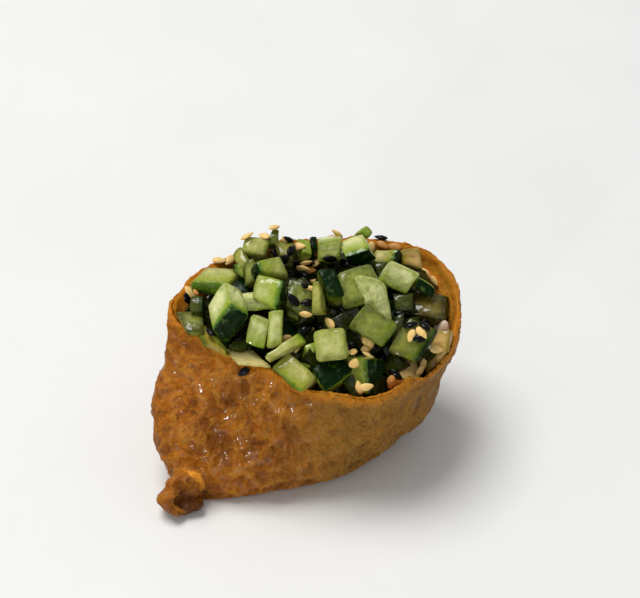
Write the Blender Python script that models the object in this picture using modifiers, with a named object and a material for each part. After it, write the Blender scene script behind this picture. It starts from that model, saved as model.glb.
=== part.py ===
"""Inari sushi: an open pouch of fried tofu, filled with rice and heaped with diced cucumber.

The pouch stands on its closed lower edge. Its mouth is a long oval that falls to the front and
right, and one lower corner of the flat pouch sticks out at the front left as a curled ear.
Units are metres and +Z is up. The origin is on the table, under the middle of the whole piece.
"""
import functools
import math

import bmesh
import bpy
from mathutils import Matrix, Vector, noise

MM = 0.001

# Driving sizes, in millimetres.
WALL = 2.2  # thickness of the fried tofu skin
GAP = 0.45  # free space between the skin and what it holds
UNDER_SWELL = 3.0  # how strongly the wall leaves the foot sideways
LIP_ROLL = 0.55  # how far the lip stands above the edges of the skin
LIP_WAVE = 0.5  # how unevenly it does
PUFF = 0.9  # relief of the blown skin
PUFF_SIZE = 9.0
CREASE = 0.55  # depth of its creases
CREASE_SIZE = 5.5
RICE_BELOW_RIM = 9.0  # top of the rice under the lip
RICE_DOME = 2.0
HEAP_BELOW_RIM = 3.0  # where the heap meets the wall
HEAP_DOME = 7.5  # how far its middle stands above that, before the dice

# How finely the solids are divided.
PER_STATION = 4  # points between two stations of the wall
OUTER_RINGS = 16
INNER_RINGS = 10
EAR_SEGMENTS = (16, 10)

# The wall, station by station, anticlockwise from the right end as seen from above.
# Each row is the lip (x, y, z), the edge of the flat foot (x, y), and the belly: how far it
# stands out, how high it is, and how far the wall draws in again above it.
STATIONS = (
    ((34.1, 4.4, 32.0), (19.6, 4.9), (3.0, 13.0, 0.0)),  # right end
    ((33.4, 13.2, 34.0), (18.1, 10.4), (3.2, 14.0, 0.0)),
    ((28.3, 21.4, 36.0), (13.6, 15.9), (3.2, 15.0, 0.0)),
    ((15.1, 25.2, 37.0), (6.6, 19.4), (3.0, 16.0, 0.0)),
    ((2.1, 24.8, 38.0), (-1.9, 20.4), (2.6, 16.0, 0.0)),  # back
    ((-9.4, 22.2, 38.6), (-10.4, 17.9), (2.4, 16.0, 1.0)),
    ((-18.4, 16.4, 38.6), (-18.4, 12.4), (2.8, 16.0, 3.0)),
    ((-25.4, 10.4, 38.6), (-24.7, 1.9), (3.0, 18.0, 5.0)),
    ((-30.1, 4.8, 38.2), (-27.7, -15.1), (4.0, 21.0, 9.0)),  # left end: the fold that runs down to the ear
    ((-25.9, -1.6, 36.6), (-24.1, -19.4), (3.8, 17.0, 6.0)),
    ((-16.9, -7.6, 34.0), (-15.9, -19.0), (4.6, 15.0, 3.0)),
    ((-6.9, -13.2, 31.8), (-6.4, -15.9), (4.6, 14.0, 1.5)),  # front
    ((4.1, -17.8, 30.3), (3.4, -13.2), (3.4, 13.0, 0.0)),
    ((15.1, -18.8, 29.5), (9.7, -8.8), (2.2, 13.0, 0.0)),
    ((24.6, -14.1, 29.8), (14.7, -4.2), (2.2, 13.0, 0.0)),
    ((31.1, -5.6, 31.0), (17.9, 0.2), (2.8, 13.0, 0.0)),
)

# The curled corner: a hollow cup and the neck that joins it to the wall.
EAR_CENTRE = (-26.5, -22.2, 3.75)
EAR_SIZE = (5.2, 3.9, 3.65)  # half sizes
EAR_OPENS = (0.80, -0.50, 0.32)  # the way its hollow faces
EAR_CUT = 0.25  # how far past its middle the cup is cut open, in half sizes
EAR_WALL = 1.5
NECK_CENTRE = (-25.6, -19.8, 6.0)
NECK_SIZE = (3.5, 2.6, 3.7)

# The cucumber dice on top. Each row is the middle of the dice (x, y) and its height above the
# mouth, its sides (along its edge, across, and from the skin inwards), and the directions
# (right, back, up) that its skin faces and that its edge runs.
DICE = (
    # along the front wall, from the left
    ((-20.7, -0.2, 0.5), (5.5, 4.0, 4.0), (-0.2, 0.9, -0.5), (1.0, -0.2, 0.1)),
    ((-16.9, -4.1, 4.0), (6.8, 6.0, 8.0), (0.6, -0.8, 0.0), (-0.7, -0.5, -0.6)),
    ((-10.7, -7.2, 0.5), (8.0, 4.5, 4.5), (-0.2, 0.9, -0.4), (0.9, -0.4, -0.1)),
    ((-9.9, -6.1, 2.5), (4.3, 4.5, 6.0), (-0.2, -0.9, -0.4), (1.0, -0.1, 0.1)),
    ((-5.9, -6.6, 3.5), (8.0, 3.0, 4.5), (-0.2, 0.4, -0.9), (0.1, 0.7, 0.7)),
    ((-3.4, -9.6, 3.0), (9.5, 4.0, 3.5), (-0.4, 0.4, 0.8), (0.9, 0.3, 0.4)),
    ((-1.1, -11.2, 2.6), (8.0, 5.0, 5.5), (-0.7, -0.6, -0.3), (0.6, -0.7, -0.4)),
    ((4.6, -13.1, 1.5), (6.8, 4.5, 6.0), (0.1, -0.9, 0.4), (0.9, 0.3, 0.4)),
    ((10.1, -13.1, 0.5), (6.5, 6.0, 7.5), (0.9, -0.4, 0.3), (0.0, 0.7, 0.7)),
    ((18.1, -10.1, 0.0), (6.0, 4.0, 5.0), (0.2, 0.3, -0.9), (1.0, 0.1, 0.2)),
    ((25.6, -3.6, 0.0), (7.0, 3.0, 5.0), (0.8, -0.2, -0.5), (0.5, 0.5, 0.7)),
    # the middle, from the left
    ((-21.4, 3.4, 1.0), (4.0, 4.0, 4.0), (0.3, -0.6, 0.8), (0.1, 0.7, 0.7)),
    ((-13.9, 3.4, 2.0), (6.0, 6.0, 4.0), (0.0, -0.6, 0.8), (1.0, 0.1, 0.1)),
    ((-11.4, -2.1, 5.0), (7.0, 5.0, 4.5), (0.1, -0.9, -0.4), (1.0, 0.1, 0.1)),
    ((-8.4, 0.4, 6.5), (6.5, 5.0, 7.0), (0.9, -0.5, -0.1), (0.2, 0.5, 0.9)),
    ((-7.4, 6.9, 6.0), (5.7, 5.0, 7.6), (-0.9, 0.3, 0.0), (0.3, 0.9, 0.0)),
    ((-1.9, -1.6, 3.0), (6.0, 5.0, 5.0), (0.1, -0.9, 0.5), (0.6, 0.5, 0.6)),
    ((-0.9, 1.9, 6.0), (6.0, 3.0, 6.0), (-0.3, 0.9, -0.3), (0.7, 0.5, 0.6)),
    ((5.1, -9.1, 4.5), (6.5, 6.0, 6.0), (0.2, 1.0, -0.2), (1.0, 0.0, 0.2)),
    ((5.1, 1.4, 7.5), (6.5, 4.2, 6.0), (-0.1, -0.4, 0.9), (0.3, -0.6, -0.7)),
    ((7.6, -3.1, 4.5), (9.0, 4.0, 4.0), (-0.3, 0.3, 0.9), (0.9, 0.3, 0.3)),
    ((12.6, 1.4, 7.5), (11.0, 3.5, 9.0), (0.8, -0.2, 0.5), (-0.3, 0.5, 0.8)),
    ((13.1, -6.6, 5.0), (9.0, 4.0, 7.0), (0.2, -0.7, -0.7), (0.8, -0.5, -0.3)),
    ((20.6, -7.1, 3.0), (7.5, 5.0, 7.0), (0.8, -0.5, -0.2), (0.5, 0.4, 0.8)),
    ((20.1, 6.4, 6.0), (7.0, 5.5, 5.0), (-0.2, -0.6, -0.8), (0.9, -0.5, -0.1)),
    ((24.1, 3.4, 0.0), (10.0, 3.0, 8.0), (0.3, 0.9, -0.4), (0.9, 0.2, 0.2)),
    # along the back wall, from the left
    ((-16.9, 6.6, 0.5), (10.0, 4.5, 5.0), (-0.3, -0.9, -0.2), (0.9, 0.4, 0.0)),
    ((-12.4, 12.4, 1.5), (5.0, 4.0, 5.0), (-0.5, 0.8, -0.3), (0.3, 0.6, 0.7)),
    ((-9.4, 11.4, 4.0), (10.0, 3.0, 7.0), (0.7, 0.5, 0.6), (-0.5, 0.3, 0.8)),
    ((-4.4, 13.4, 4.5), (6.0, 5.0, 6.0), (0.3, 0.8, -0.5), (0.9, 0.2, 0.2)),
    ((0.1, 15.9, 4.0), (4.5, 4.5, 4.5), (0.2, -0.2, 1.0), (1.0, 0.1, -0.1)),
    ((5.1, 13.9, 5.0), (5.5, 5.0, 5.0), (0.0, 0.5, -0.9), (1.0, 0.0, 0.0)),
    ((11.1, 15.4, 5.0), (8.0, 5.0, 6.5), (0.3, -0.8, -0.5), (0.9, 0.2, 0.3)),
    ((12.6, 19.4, 4.0), (3.5, 3.5, 3.5), (0.6, 0.1, 0.8), (0.7, -0.6, -0.3)),
    ((17.1, 13.9, 4.0), (4.0, 4.0, 6.0), (1.0, -0.2, -0.1), (0.1, 0.3, 1.0)),
    ((22.1, 14.4, 3.0), (5.0, 5.0, 5.5), (-0.9, -0.2, 0.2), (0.1, 0.4, 0.9)),
    ((25.1, 7.4, 4.0), (5.5, 3.5, 4.0), (0.1, -1.0, 0.1), (0.8, -0.5, -0.4)),
)

TOFU = ((0.50, 0.20, 0.035), 0.42)
RICE = ((0.86, 0.82, 0.72), 0.35)
CUCUMBER = ((0.33, 0.46, 0.11), 0.25)


def clear_scene():
    for old in list(bpy.data.objects):
        bpy.data.objects.remove(old, do_unlink=True)


def collection(name, shown=True):
    made = bpy.data.collections.new(name)
    bpy.context.scene.collection.children.link(made)
    made.hide_render = not shown
    return made


def material(name, look):
    colour, roughness = look
    made = bpy.data.materials.new(name)
    made.use_nodes = True
    shader = made.node_tree.nodes["Principled BSDF"]
    shader.inputs["Base Color"].default_value = (*colour, 1.0)
    shader.inputs["Roughness"].default_value = roughness
    shader.inputs["Metallic"].default_value = 0.0
    return made


def through(values, t):
    """A smooth closed curve through the values, one for each whole number of t."""
    whole = math.floor(t)
    a, b, c, d = (values[(whole + k) % len(values)] for k in (-1, 0, 1, 2))
    f = t - whole
    square, cube = 2 * a - 5 * b + 4 * c - d, 3 * b - a - 3 * c + d
    return 0.5 * (2 * b + (c - a) * f + square * f**2 + cube * f**3)


def hermite(start, end, leaving, arriving, f):
    """A curve from start to end with those directions at its ends."""
    return (
        (2 * f**3 - 3 * f**2 + 1) * start
        + (f**3 - 2 * f**2 + f) * leaving
        + (3 * f**2 - 2 * f**3) * end
        + (f**3 - f**2) * arriving
    )


LIPS = [Vector(row[0]) for row in STATIONS]
FEET = [Vector((*row[1], 0.0)) for row in STATIONS]
BELLIES = [Vector(row[2]) for row in STATIONS]
MIDDLE = sum(LIPS, Vector()) / len(LIPS)
FOOT_MIDDLE = sum(FEET, Vector()) / len(FEET)
TURNS = [k / PER_STATION for k in range(len(STATIONS) * PER_STATION)]


def outward(points, t):
    """The level direction away from the pouch, square to the curve through the points."""
    along = through(points, t + 0.05) - through(points, t - 0.05)
    return Vector((along.y, -along.x, 0.0)).normalized()


def rise(foot, belly, lip, swell, waist, v):
    """A point of a wall that leaves the foot level, stands out at the belly and ends at the lip."""
    straight = (lip - belly) * 0.9
    up = straight - waist
    if v <= 1:
        under = Vector((belly.x - foot.x, belly.y - foot.y, 0.0)) + swell
        return hermite(foot, belly, under, up, v)
    return hermite(belly, lip, up, straight + waist * 0.5, v - 1)


def skin(t, v):
    """A point of the smooth outer wall. v is 0 at the edge of the foot, 1 at the belly and 2 at the lip."""
    lip, foot, (bulge, height, waist) = through(LIPS, t), through(FEET, t), through(BELLIES, t)
    under = outward(FEET, t)
    out = (outward(LIPS, t) + under).normalized()
    belly = foot.lerp(lip, 0.5) + out * bulge
    belly.z = height
    return rise(foot, belly, lip, under * UNDER_SWELL, out * waist, v)


def skin_normal(t, v):
    around = skin(t + 0.02, v) - skin(t - 0.02, v)
    upward = skin(t, min(v + 0.02, 2.0)) - skin(t, max(v - 0.02, 0.0))
    return around.cross(upward).normalized()


def puffs(point, v):
    """How far the fried skin is blown out or drawn in, fading to nothing at the foot."""
    broad = noise.noise(point / PUFF_SIZE + Vector((3.1, 0.7, 5.2)))
    crease = 1.0 - abs(noise.noise(point / CREASE_SIZE + Vector((7.7, 2.3, 0.4)))) * 2.0
    return (broad * PUFF - max(crease, 0.0) ** 3 * CREASE) * min(v / 0.5, 1.0)


def outer_wall(t, v):
    point = skin(t, v)
    return point + skin_normal(t, v) * puffs(point, v)


@functools.cache
def lining(t):
    """Where the inside of the wall starts at the floor, passes the belly and ends at the lip."""
    floor = through(FEET, t) - outward(FEET, t) * WALL * 0.5
    floor.z = WALL
    return floor, *(skin(t, v) - skin_normal(t, v) * WALL for v in (1.0, 2.0))


def inner_wall(t, v):
    """The wall seen from inside. v below 0 is the floor, down to -1 at its middle."""
    floor, belly, lip = lining(t)
    if v < 0:
        return floor.lerp(FOOT_MIDDLE + Vector((0.0, 0.0, WALL)), -v)
    out = (outward(LIPS, t) + outward(FEET, t)).normalized()
    return rise(floor, belly, lip, outward(FEET, t) * UNDER_SWELL / 2, out * through(BELLIES, t).z, v)


def loft(name, rings, first_middle, last_middle):
    """A closed solid through rings of equally many points, with a fan at each end."""
    mesh = bmesh.new()
    made = [[mesh.verts.new(point * MM) for point in ring] for ring in rings]
    count = len(made[0])
    for lower, upper in zip(made, made[1:]):
        for i in range(count):
            j = (i + 1) % count
            mesh.faces.new((lower[i], lower[j], upper[j], upper[i]))
    for ring, middle, turned in ((made[0], first_middle, True), (made[-1], last_middle, False)):
        hub = mesh.verts.new(middle * MM)
        for i in range(count):
            j = (i + 1) % count
            mesh.faces.new((ring[j], ring[i], hub) if turned else (ring[i], ring[j], hub))
    bmesh.ops.recalc_face_normals(mesh, faces=mesh.faces)
    data = bpy.data.meshes.new(name)
    mesh.to_mesh(data)
    mesh.free()
    return bpy.data.objects.new(name, data)


def steps(start, end, count):
    return [start + (end - start) * k / count for k in range(count + 1)]


def pouch_shell(name):
    """The skin from the middle of the foot up the outside, over the lip and down the inside."""
    rings = [[FOOT_MIDDLE.lerp(through(FEET, t), share) for t in TURNS] for share in (0.5, 1.0)]
    rings += [[outer_wall(t, v) for t in TURNS] for v in steps(0.0, 2.0, OUTER_RINGS)[1:]]
    over = []
    for t in TURNS:
        wave = Vector((0.0, 0.0, LIP_ROLL + LIP_WAVE * noise.noise(through(LIPS, t) / 4.0)))
        over.append((outer_wall(t, 2.0) + inner_wall(t, 2.0)) / 2 + wave)
    rings.append(over)
    rings += [[inner_wall(t, v) for t in TURNS] for v in steps(2.0, 0.0, INNER_RINGS)]
    rings.append([inner_wall(t, -0.5) for t in TURNS])
    return loft(name, rings, FOOT_MIDDLE, FOOT_MIDDLE + Vector((0.0, 0.0, WALL)))


def clear_of_wall(t, v):
    """A point of the inner wall moved in by the gap, and lifted off the floor by it."""
    along = inner_wall(t + 0.05, v) - inner_wall(t - 0.05, v)
    point = inner_wall(t, v) - Vector((along.y, -along.x, 0.0)).normalized() * GAP
    point.z = max(point.z, WALL + GAP)
    return point


@functools.cache
def climb(t):
    """Points up the inside of the wall, clear of the skin, from the floor of the pouch to the lip."""
    return [clear_of_wall(t, v) for v in steps(0.0, 2.0, 60)]


def at_height(t, height):
    """The point inside the wall at that height."""
    lower = climb(t)[0]
    for upper in climb(t)[1:]:
        if upper.z >= height:
            return lower.lerp(upper, max(height - lower.z, 0.0) / (upper.z - lower.z))
        lower = upper
    return lower


def rice_rim(t):
    return through(LIPS, t).z - RICE_BELOW_RIM


def rice_top(t, share):
    """The top of the rice, from its middle, share 0, to the wall, share 1."""
    border = at_height(t, rice_rim(t))
    middle = Vector((MIDDLE.x, MIDDLE.y, MIDDLE.z - RICE_BELOW_RIM + RICE_DOME))
    point = middle.lerp(border, share)
    point.z = border.z + (middle.z - border.z) * (1 - share**2)
    return point


def heap_top(t, share):
    """The top of the heap under its dice."""
    border = at_height(t, through(LIPS, t).z - HEAP_BELOW_RIM)
    middle = Vector((MIDDLE.x, MIDDLE.y, MIDDLE.z - HEAP_BELOW_RIM + HEAP_DOME))
    point = middle.lerp(border, share)
    point.z = border.z + (middle.z - border.z) * (1 - share**2.4)
    return point


def filling(name, floor_at, top_at, sides, floor_rings, top_rings, middles):
    """A solid that stands in the pouch, between two surfaces and against the inside of the wall."""
    floor = [[floor_at(t, share) for t in TURNS] for share in steps(0.0, 1.0, floor_rings)[1:]]
    walls = [[side(t) for t in TURNS] for side in sides]
    top = [[top_at(t, share) for t in TURNS] for share in steps(1.0, 0.0, top_rings)[:-1]]
    return loft(name, floor + walls + top, *middles)


def between(low, high, count):
    """The rings that run up the wall between two heights, closer together near the lower one."""
    def ring(f):
        return lambda t: at_height(t, low(t) + (high(t) - low(t)) * f**1.4)
    return [ring(f) for f in steps(0.0, 1.0, count)[1:-1]]


def rice(name):
    centre = FOOT_MIDDLE + Vector((0.0, 0.0, WALL + GAP))

    def floor_at(t, share):
        return centre.lerp(climb(t)[0], share)

    sides = between(lambda t: centre.z, rice_rim, 9)
    return filling(name, floor_at, rice_top, sides, 3, 4, (centre, rice_top(0.0, 0.0)))


def heap(name):
    lift = Vector((0.0, 0.0, GAP))

    def floor_edge(t):
        return rice_rim(t) + GAP

    def floor_at(t, share):
        return at_height(t, floor_edge(t)) if share == 1.0 else rice_top(t, share) + lift

    sides = between(floor_edge, lambda t: through(LIPS, t).z - HEAP_BELOW_RIM, 4)
    return filling(name, floor_at, heap_top, sides, 4, 7, (rice_top(0.0, 0.0) + lift, heap_top(0.0, 0.0)))


def mouth_height(x, y):
    """The height of the level through the lip, which falls to the front and right."""
    return 35.2 - 0.11 * x + 0.19 * y


def placed(name, mesh, matrix):
    """An object of the mesh, moved in place."""
    bmesh.ops.transform(mesh, matrix=matrix, verts=mesh.verts)
    data = bpy.data.meshes.new(name)
    mesh.to_mesh(data)
    mesh.free()
    return bpy.data.objects.new(name, data)


def moved(point):
    return Matrix.Translation(Vector(point) * MM)


def stretched(sides):
    return Matrix.Diagonal((*[side * MM for side in sides], 1.0))


def one_dice(name, place, sides, faces, runs):
    """A cucumber dice: its third side runs along the way the skin faces."""
    mesh = bmesh.new()
    bmesh.ops.create_cube(mesh, size=1.0)
    skin_way = Vector(faces).normalized()
    across = skin_way.cross(Vector(runs)).normalized()
    turn = Matrix((across.cross(skin_way), across, skin_way)).transposed().to_4x4()
    x, y, above = place
    return placed(name, mesh, moved((x, y, mouth_height(x, y) + above)) @ turn @ stretched(sides))


def ear_cup(name):
    """The curled corner: a hollow half shell, open to the front and right."""
    mesh = bmesh.new()
    around, up = EAR_SEGMENTS
    bmesh.ops.create_uvsphere(mesh, u_segments=around, v_segments=up, radius=1.0)
    bmesh.ops.bisect_plane(
        mesh, geom=mesh.verts[:] + mesh.edges[:] + mesh.faces[:],
        plane_co=(0, 0, EAR_CUT), plane_no=(0, 0, 1), clear_outer=True,
    )
    turn = Vector((0, 0, 1)).rotation_difference(Vector(EAR_OPENS)).to_matrix().to_4x4()
    made = placed(name, mesh, moved(EAR_CENTRE) @ stretched(EAR_SIZE) @ turn)
    wall = made.modifiers.new("wall", "SOLIDIFY")
    wall.thickness = EAR_WALL * MM
    wall.offset = -1.0
    wall.use_even_offset = False
    return made


def ear_neck(name):
    mesh = bmesh.new()
    around, up = EAR_SEGMENTS
    bmesh.ops.create_uvsphere(mesh, u_segments=around, v_segments=up, radius=1.0)
    return placed(name, mesh, moved(NECK_CENTRE) @ stretched(NECK_SIZE))


def as_mesh(made):
    """Replaces an object's modifiers by their result."""
    bpy.context.view_layer.update()
    graph = bpy.context.evaluated_depsgraph_get()
    data = bpy.data.meshes.new_from_object(made.evaluated_get(graph))
    made.modifiers.clear()
    made.data = data


def union_with(body, name, tools):
    """Joins every solid of a collection of tools to the body."""
    for tool in tools.objects:
        tool.hide_render = True
        tool.display_type = "WIRE"
    join = body.modifiers.new(name, "BOOLEAN")
    join.operation = "UNION"
    join.operand_type = "COLLECTION"
    join.collection = tools
    join.solver = "EXACT"


def main():
    clear_scene()
    shown = collection("inari_sushi")
    ears = collection("ear_tools", shown=False)
    dice = collection("dice_tools", shown=False)

    bodies = (pouch_shell("tofu_pouch"), rice("sushi_rice"), heap("cucumber_heap"))
    for made, (name, look) in zip(bodies, (("fried_tofu", TOFU), ("rice", RICE), ("cucumber", CUCUMBER))):
        shown.objects.link(made)
        made.data.materials.append(material(name, look))
        made.data.shade_smooth()
        made.data.set_sharp_from_angle(angle=math.radians(50))
    pouch, _, top = bodies

    for tool in (ear_cup("ear_cup"), ear_neck("ear_neck")):
        ears.objects.link(tool)
        as_mesh(tool)
    union_with(pouch, "ear", ears)

    for number, row in enumerate(DICE, 1):
        dice.objects.link(one_dice(f"dice_{number:02d}", *row))
    union_with(top, "dice", dice)


main()
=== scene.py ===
# %% [markdown]
# # Inari sushi: a pouch of fried tofu with rice, diced cucumber and sesame
#
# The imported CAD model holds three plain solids, in metres with +Z up: the open pouch, the rice
# in it, and the heap of cucumber on top. This script keeps their sizes and places and makes
# what the eye sees: the crinkled wet skin, each piece of cucumber, the rice and the seeds.

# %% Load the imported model
import math
import random

import bmesh
import bpy
import numpy as np
from mathutils import Matrix, Vector, noise
from mathutils.bvhtree import BVHTree


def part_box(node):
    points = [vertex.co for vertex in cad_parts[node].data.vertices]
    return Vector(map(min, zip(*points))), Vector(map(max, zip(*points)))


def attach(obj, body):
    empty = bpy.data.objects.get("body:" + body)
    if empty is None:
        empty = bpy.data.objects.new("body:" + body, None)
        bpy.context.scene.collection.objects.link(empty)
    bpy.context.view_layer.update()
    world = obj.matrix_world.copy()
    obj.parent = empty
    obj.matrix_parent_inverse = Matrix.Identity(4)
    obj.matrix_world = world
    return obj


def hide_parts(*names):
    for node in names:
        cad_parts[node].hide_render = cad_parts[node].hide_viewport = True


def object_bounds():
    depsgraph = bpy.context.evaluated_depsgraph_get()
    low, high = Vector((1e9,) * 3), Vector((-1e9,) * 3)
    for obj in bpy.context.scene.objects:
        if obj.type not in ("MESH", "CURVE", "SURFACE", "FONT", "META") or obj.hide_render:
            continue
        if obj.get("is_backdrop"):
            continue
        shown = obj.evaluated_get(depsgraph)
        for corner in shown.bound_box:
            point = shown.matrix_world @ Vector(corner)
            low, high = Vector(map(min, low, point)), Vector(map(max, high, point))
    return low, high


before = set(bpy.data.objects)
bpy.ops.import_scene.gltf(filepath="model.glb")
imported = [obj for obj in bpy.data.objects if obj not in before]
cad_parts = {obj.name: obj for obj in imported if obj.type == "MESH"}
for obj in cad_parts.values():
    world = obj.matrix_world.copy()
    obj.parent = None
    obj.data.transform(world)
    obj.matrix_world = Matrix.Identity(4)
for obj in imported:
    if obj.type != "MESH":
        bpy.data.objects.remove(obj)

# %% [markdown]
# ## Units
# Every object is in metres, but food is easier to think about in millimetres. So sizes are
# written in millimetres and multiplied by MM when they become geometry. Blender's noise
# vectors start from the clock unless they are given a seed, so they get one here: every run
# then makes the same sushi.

MM = 0.001
NOISE_SEED = 20
noise.seed_set(NOISE_SEED)
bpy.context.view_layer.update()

# %% [markdown]
# ## Camera
# The sushi is seen from the front, from a little above half height, with a long lens that
# flattens it slightly. The camera is placed by a point where it stands and a point it looks
# at. Its track quaternion turns its own -Z axis that way and keeps +Y up.

# %% Camera
CAMERA_STANDS = Vector((0.1, -244.3, 240.2))
CAMERA_LOOKS_AT = Vector((3.1, 27.2, 18.0))

lens = bpy.data.cameras.new("camera")
lens.lens = 85
lens.clip_start = 0.01
camera = bpy.data.objects.new("camera", lens)
camera.location = CAMERA_STANDS * MM
camera.rotation_euler = (CAMERA_LOOKS_AT - CAMERA_STANDS).to_track_quat("-Z", "Y").to_euler()
bpy.context.scene.collection.objects.link(camera)
bpy.context.scene.camera = camera
print("camera to sushi in mm:", round((CAMERA_LOOKS_AT - CAMERA_STANDS).length))

# %% [markdown]
# ## Light and floor
# A broad lamp stands almost overhead, a little behind the left shoulder of the sushi. It lights
# the heap and throws a short soft shadow towards the front right. A small bulb in front, not
# much higher than the sushi itself, is what glints on everything wet. The sky opens up the
# shade, and the pale floor bounces light up the wall of the pouch.

# %% Lamps, sky and floor
LAMPS = (  # name, place, side in mm, watts
    ("window", (-360, 250, 1320), 750, 16.2),
    ("bulb", (-300, -560, 90), 14, 1.05),
)
SKY = (0.93, 0.96, 1.0)
SKY_STRENGTH = 0.44
FLOOR_SIDE = 3000

for name, place, side, watts in LAMPS:
    lamp = bpy.data.lights.new(name, "AREA")
    lamp.size = side * MM
    lamp.energy = watts
    stand = bpy.data.objects.new(name, lamp)
    stand.location = Vector(place) * MM
    stand.rotation_euler = (-Vector(place)).to_track_quat("-Z", "Y").to_euler()
    bpy.context.scene.collection.objects.link(stand)

world = bpy.data.worlds.new("sky")
world.use_nodes = True
world.node_tree.nodes["Background"].inputs["Color"].default_value = (*SKY, 1.0)
world.node_tree.nodes["Background"].inputs["Strength"].default_value = SKY_STRENGTH
bpy.context.scene.world = world
bpy.context.scene.view_settings.view_transform = "Standard"
print("lamps:", [name for name, *_ in LAMPS])

# %% [markdown]
# ## A small language for materials
# A material is a graph of nodes. Wiring it by hand hides the idea behind the plumbing, so a
# Value wraps one output socket and lets Python sums add the Math nodes. A Finish is one
# material: its node method adds any other node, and the short methods under it name the few
# that come back all the time. Noise sizes are given in millimetres.


# %% Values and finishes
class Value:
    """One output of a node. A sum with it adds the Math node that it needs."""

    def __init__(self, finish, socket):
        self.finish = finish
        self.socket = socket

    def maths(self, operation, first, second):
        return self.finish.node("ShaderNodeMath", {"operation": operation}, {0: first, 1: second})

    def __add__(self, other):
        return self.maths("ADD", self, other)

    def __sub__(self, other):
        return self.maths("SUBTRACT", self, other)

    def __rsub__(self, other):
        return self.maths("SUBTRACT", other, self)

    def __mul__(self, other):
        return self.maths("MULTIPLY", self, other)

    __radd__ = __add__
    __rmul__ = __mul__


class Finish:
    """A material that is built one node at a time. The constants go on the shader's own sockets."""

    def __init__(self, name, constants):
        self.material = bpy.data.materials.new(name)
        self.material.use_nodes = True
        self.tree = self.material.node_tree
        self.shader = self.tree.nodes["Principled BSDF"]
        for socket, value in constants.items():
            self.shader.inputs[socket].default_value = value

    def feed(self, socket, value):
        if isinstance(value, Value):
            self.tree.links.new(value.socket, socket)
        elif isinstance(value, tuple) and len(value) == 3 and socket.type == "RGBA":
            socket.default_value = (*value, 1.0)
        else:
            socket.default_value = value

    def node(self, kind, settings, inputs, output=0):
        made = self.tree.nodes.new(kind)
        for name, value in settings.items():
            setattr(made, name, value)
        for name, value in inputs.items():
            self.feed(made.inputs[name], value)
        return Value(self, made.outputs[output])

    def shows(self, name, value):
        """Links a value to one of the shader's sockets."""
        self.feed(self.shader.inputs[name], value)

    def where(self):
        return self.node("ShaderNodeTexCoord", {}, {}, output="Object")

    def stored(self, name):
        """A number that the mesh keeps at each point."""
        settings = {"attribute_type": "GEOMETRY", "attribute_name": name}
        return self.node("ShaderNodeAttribute", settings, {}, output="Fac")

    def noise(self, size, detail=2.0, rough=0.5, warp=0.0):
        inputs = {
            "Vector": self.where(), "Scale": 1 / (size * MM), "Detail": detail,
            "Roughness": rough, "Distortion": warp,
        }
        return self.node("ShaderNodeTexNoise", {}, inputs)

    def step(self, value, low, high):
        """0 below low, 1 above high and a soft ramp between. It falls where low is above high."""
        inputs = {"Value": value, "From Min": low, "From Max": high}
        return self.node("ShaderNodeMapRange", {"interpolation_type": "SMOOTHSTEP"}, inputs)

    def blend(self, share, first, second, how="MIX"):
        settings = {"data_type": "RGBA", "blend_type": how}
        return self.node("ShaderNodeMix", settings, {0: share, 6: first, 7: second}, output=2)

    def bump(self, height, depth, under=None):
        """Raises the shading by that many millimetres where the height is 1, over another bump."""
        inputs = {"Height": height, "Distance": depth * MM}
        if under:
            inputs["Normal"] = under
        return self.node("ShaderNodeBump", {}, inputs)


print("materials can be written as sums")

# %% [markdown]
# The floor comes first, as the simplest finish: pale glaze with a hint of clouding, a little
# darker and cooler in places, and just glossy enough to catch a soft sheen.

# %% Floor
FLOOR_SHADE = (0.72, 0.715, 0.69)
FLOOR_LIGHT = (0.80, 0.793, 0.765)

glaze = Finish("pale_glaze", {"IOR": 1.45})
clouds = glaze.noise(60.0, detail=4.0)
glaze.shows("Base Color", glaze.blend(clouds, FLOOR_SHADE, FLOOR_LIGHT))
glaze.shows("Roughness", 0.45 + 0.15 * clouds)
glaze.shows("Normal", glaze.bump(glaze.noise(9.0, detail=3.0), 0.12))

sheet = bmesh.new()
bmesh.ops.create_grid(sheet, x_segments=1, y_segments=1, size=FLOOR_SIDE * MM / 2)
floor = bpy.data.objects.new("floor", bpy.data.meshes.new("floor"))
sheet.to_mesh(floor.data)
sheet.free()
floor.data.materials.append(glaze.material)
bpy.context.scene.collection.objects.link(floor)
floor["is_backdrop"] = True
print("floor side in mm:", FLOOR_SIDE)

# %% [markdown]
# ## Working on meshes
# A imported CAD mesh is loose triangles, so a copy of it is merged first and its triangles are
# joined back to quads. New shapes come from bmesh operators. Modifiers such as Remesh are
# applied by reading the object as it is evaluated, so no modifier is left on a finished piece.


# %% Mesh helpers
FLAT_ENOUGH = math.radians(40)  # two triangles that make a quad bend less than this
SQUARE_ENOUGH = math.radians(60)


def piece_of(mesh, name):
    """Turns a bmesh into a linked object at the origin."""
    data = bpy.data.meshes.new(name)
    mesh.to_mesh(data)
    mesh.free()
    piece = bpy.data.objects.new(name, data)
    bpy.context.scene.collection.objects.link(piece)
    return piece


def copy_of(node, name):
    """A new object with the merged mesh of a CAD node."""
    mesh = bmesh.new()
    mesh.from_mesh(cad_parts[node].data)
    bmesh.ops.remove_doubles(mesh, verts=mesh.verts, dist=1e-6)
    bmesh.ops.join_triangles(
        mesh, faces=mesh.faces, angle_face_threshold=FLAT_ENOUGH, angle_shape_threshold=SQUARE_ENOUGH
    )
    return piece_of(mesh, name)


def apply_modifiers(piece):
    graph = bpy.context.evaluated_depsgraph_get()
    data = bpy.data.meshes.new_from_object(piece.evaluated_get(graph))
    piece.modifiers.clear()
    piece.data = data


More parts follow.
